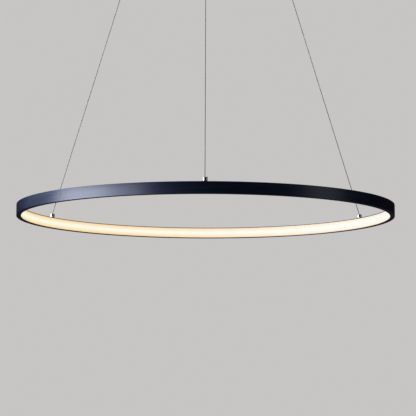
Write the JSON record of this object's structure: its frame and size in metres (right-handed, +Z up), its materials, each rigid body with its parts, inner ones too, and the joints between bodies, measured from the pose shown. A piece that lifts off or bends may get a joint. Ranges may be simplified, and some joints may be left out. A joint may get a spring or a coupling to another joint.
{
  "type": "ring pendant light",
  "caption": "Slim LED ring pendant: navy channel hoop with an opal inner diffuser, hung on steel wires from a round ceiling canopy with sprung wire grips.",
  "frame": {"origin": "on the ceiling, midway between the ceiling plate's screw slots, at the plate's top face", "axes": "+Z up out of the ceiling plate; the light hangs towards -Z; one wire is at the front, at -Y"},
  "size_m": [0.8, 0.8, 0.8706],
  "materials": {
    "hoop_finish": "satin navy, brushed along the hoop",
    "diffuser_opal": "opal, lit from behind",
    "bright_chrome": "polished plate",
    "wire_steel": "bright stranded wire",
    "zinc_steel": "zinc plated",
    "natural_nylon": "natural moulded nylon",
    "black_nylon": "black moulded nylon",
    "tinned_brass": "tinned",
    "bare_aluminium": "mill",
    "driver_plastic": "fine moulded texture",
    "board_green": "solder resist",
    "strip_white": "white solder resist",
    "tape_grey": "adhesive tape",
    "chip_phosphor": "phosphor coated",
    "resistor_black": "glazed chip"
  },
  "bodies": {
    "canopy": {"ceiling_plate": "zinc_steel", "canopy_cover": "hoop_finish", "cover_screws": "bright_chrome", "driver_base": "driver_plastic", "driver_case": "driver_plastic", "driver_board": "board_green", "driver_screws": "zinc_steel", "terminal_block": "natural_nylon", "terminal_screws": "zinc_steel", "block_screws": "zinc_steel", "earth_tag": "tinned_brass", "earth_screw": "zinc_steel", "grip_bushes": "natural_nylon", "grip_washers": "natural_nylon", "grip_nuts": "zinc_steel", "grip_caps": "tinned_brass", "tail_sleeves": "tinned_brass", "grip_body_front": "bright_chrome", "grip_spring_front": "wire_steel", "wire_tail_front": "wire_steel", "suspension_wire_front": "wire_steel", "grip_body_right": "bright_chrome", "grip_spring_right": "wire_steel", "wire_tail_right": "wire_steel", "suspension_wire_right": "wire_steel", "grip_body_left": "bright_chrome", "grip_spring_left": "wire_steel", "wire_tail_left": "wire_steel", "suspension_wire_left": "wire_steel"},
    "ring": {"ring_hoop": "hoop_finish", "splice_bars": "bare_aluminium", "splice_screws": "zinc_steel", "strip_tape": "tape_grey", "led_strip": "strip_white", "led_chips": "chip_phosphor", "strip_resistors": "resistor_black", "diffuser": "diffuser_opal", "stud_bushes": "black_nylon", "stud_washers": "black_nylon", "feed_tags": "tinned_brass", "barrel_studs": "zinc_steel", "stud_nuts": "zinc_steel", "wire_stops": "wire_steel", "wire_barrel_front": "bright_chrome", "wire_barrel_right": "bright_chrome", "wire_barrel_left": "bright_chrome"},
    "plunger_front": {"grip_plunger_front": "bright_chrome"},
    "plunger_right": {"grip_plunger_right": "bright_chrome"},
    "plunger_left": {"grip_plunger_left": "bright_chrome"}
  },
  "joints": [
    {"name": "hoist", "type": "slide", "parent": "canopy", "child": "ring", "axis": [0, 0, 1], "range_m": [0, 0.4], "deforming": ["suspension_wire_front", "suspension_wire_right", "suspension_wire_left"]},
    {"name": "release_front", "type": "slide", "parent": "canopy", "child": "plunger_front", "axis": [0, 0, 1], "range_m": [0, 0.0025], "stiffness_N_per_m": 400, "springref_m": -0.0025, "deforming": ["grip_spring_front"]},
    {"name": "release_right", "type": "slide", "parent": "canopy", "child": "plunger_right", "axis": [0, 0, 1], "range_m": [0, 0.0025], "stiffness_N_per_m": 400, "springref_m": -0.0025, "deforming": ["grip_spring_right"]},
    {"name": "release_left", "type": "slide", "parent": "canopy", "child": "plunger_left", "axis": [0, 0, 1], "range_m": [0, 0.0025], "stiffness_N_per_m": 400, "springref_m": -0.0025, "deforming": ["grip_spring_left"]}
  ]
}
